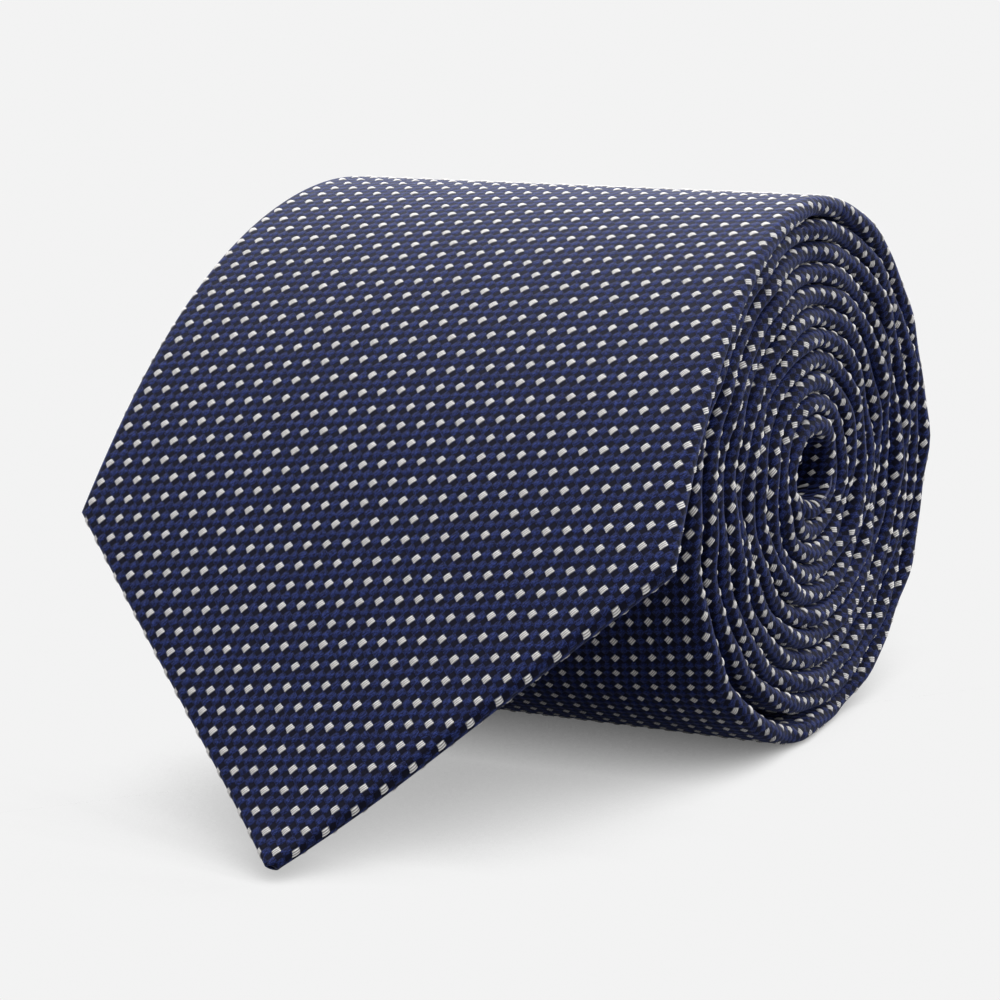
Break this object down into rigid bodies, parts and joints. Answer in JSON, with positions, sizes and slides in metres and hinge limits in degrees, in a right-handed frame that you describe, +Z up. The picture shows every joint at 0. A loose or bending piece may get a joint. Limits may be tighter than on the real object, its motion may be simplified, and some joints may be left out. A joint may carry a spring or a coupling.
{
  "type": "necktie",
  "caption": "Rolled silk necktie with its pointed blade end hanging down in front of the roll to the floor.",
  "frame": {"origin": "centre of the bounding box on the floor that the roll and the blade's point rest on", "axes": "+X along the roll's axis, the way the roll's flush end faces; -Y towards the hanging blade end; +Z up"},
  "size_m": [0.084, 0.1116, 0.0695],
  "materials": {
    "silk": "navy silk basket weave with small ivory dots",
    "wool": "off-white brushed wool interlining",
    "lining": "navy satin lining",
    "thread": "navy silk thread",
    "ivory_thread": "ivory thread",
    "label": "blank white satin label"
  },
  "bodies": {
    "roll": {"blade_panel_rolled": "silk", "neck_panel": "silk", "tail_panel": "silk", "blade_interlining": "wool", "tail_interlining": "wool", "tail_tipping": "lining", "tail_tipping_stitches": "thread", "tail_bar_tack": "ivory_thread", "slip_stitch_rolled": "thread", "blade_neck_seam": "thread", "neck_tail_seam": "thread", "interlining_seam": "ivory_thread", "keeper_loop": "silk", "keeper_loop_stitches": "thread", "care_label": "label", "care_label_stitches": "thread"},
    "blade_end": {"blade_panel_end": "silk", "interlining_end": "wool", "blade_tipping": "lining", "blade_tipping_stitches": "thread", "blade_bar_tack": "ivory_thread", "slip_stitch_end": "thread"}
  },
  "joints": [
    {"name": "blade_lift", "type": "hinge", "parent": "roll", "child": "blade_end", "pos_m": [0, 0.02167, 0.06945], "axis": [-1, 0, 0], "range_deg": [0, 130]}
  ]
}
